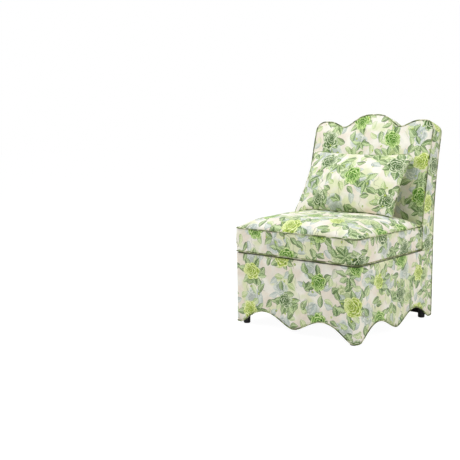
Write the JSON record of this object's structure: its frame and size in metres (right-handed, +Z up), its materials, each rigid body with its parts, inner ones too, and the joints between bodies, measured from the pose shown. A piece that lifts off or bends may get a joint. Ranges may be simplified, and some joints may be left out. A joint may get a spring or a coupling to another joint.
{
  "type": "accent chair",
  "caption": "Armless upholstered chair with a scalloped back and skirted base, a lift-off boxed seat and a loose lumbar pillow.",
  "frame": {"origin": "on the floor, under the middle of the chair's whole width and depth", "axes": "+Z up, -Y the way a sitter faces, +X to the sitter's left"},
  "size_m": [0.633, 0.7199, 0.9244],
  "materials": {
    "print_cloth": "woven cotton, matt, printed with green flowers and leaves on a cream ground",
    "dust_cloth": "black non-woven cloth",
    "webbing": "elastic upholstery web",
    "foam": "polyurethane foam",
    "fibre_filling": "hollow polyester fibre",
    "plywood": "unfinished plywood",
    "hardwood": "unfinished hardwood",
    "hardboard": "pressed hardboard",
    "black_plastic": "moulded, satin",
    "zinc_steel": "zinc plated"
  },
  "bodies": {
    "chair_frame": {"side_board_left": "plywood", "side_board_right": "plywood", "front_board": "plywood", "rear_board": "plywood", "bottom_board": "plywood", "dust_cover": "dust_cloth", "corner_block_front_left": "hardwood", "corner_block_front_right": "hardwood", "corner_block_rear_left": "hardwood", "corner_block_rear_right": "hardwood", "foot_front_left": "black_plastic", "foot_front_right": "black_plastic", "foot_rear_left": "black_plastic", "foot_rear_right": "black_plastic", "foot_screw_front_left": "zinc_steel", "foot_screw_front_right": "zinc_steel", "foot_screw_rear_left": "zinc_steel", "foot_screw_rear_right": "zinc_steel", "seat_cleat_left": "hardwood", "seat_cleat_right": "hardwood", "seat_cleat_front": "hardwood", "seat_rear_rail": "hardwood", "back_lower_rail": "hardwood", "back_middle_rail": "hardwood", "back_top_rail": "hardwood", "lower_rail_dowel_left": "hardwood", "lower_rail_dowel_right": "hardwood", "middle_rail_dowel_left": "hardwood", "middle_rail_dowel_right": "hardwood", "back_web_1": "webbing", "back_web_2": "webbing", "back_web_3": "webbing", "back_web_4": "webbing", "back_backer": "hardboard", "back_foam": "foam", "base_cover": "print_cloth", "base_hem_piping": "print_cloth", "inside_back_cover": "print_cloth", "inside_back_piping": "print_cloth", "back_band": "print_cloth", "outside_back_cover": "print_cloth", "outside_back_piping": "print_cloth"},
    "seat": {"seat_board": "plywood", "seat_lining": "dust_cloth", "seat_batten_front": "hardwood", "seat_batten_left": "hardwood", "seat_batten_right": "hardwood", "seat_foam": "foam", "seat_top_cover": "print_cloth", "seat_band": "print_cloth", "seat_upper_piping": "print_cloth", "seat_lower_piping": "print_cloth"},
    "pillow": {"pillow_insert": "fibre_filling", "pillow_front_cover": "print_cloth", "pillow_rear_cover": "print_cloth", "pillow_piping": "print_cloth"}
  },
  "joints": [
    {"name": "seat_lift", "type": "slide", "parent": "chair_frame", "child": "seat", "axis": [0, 0, 1], "range_m": [0, 0.28]},
    {"name": "pillow_lift", "type": "slide", "parent": "seat", "child": "pillow", "axis": [0, -0.5, 0.866], "range_m": [0, 0.3]}
  ]
}
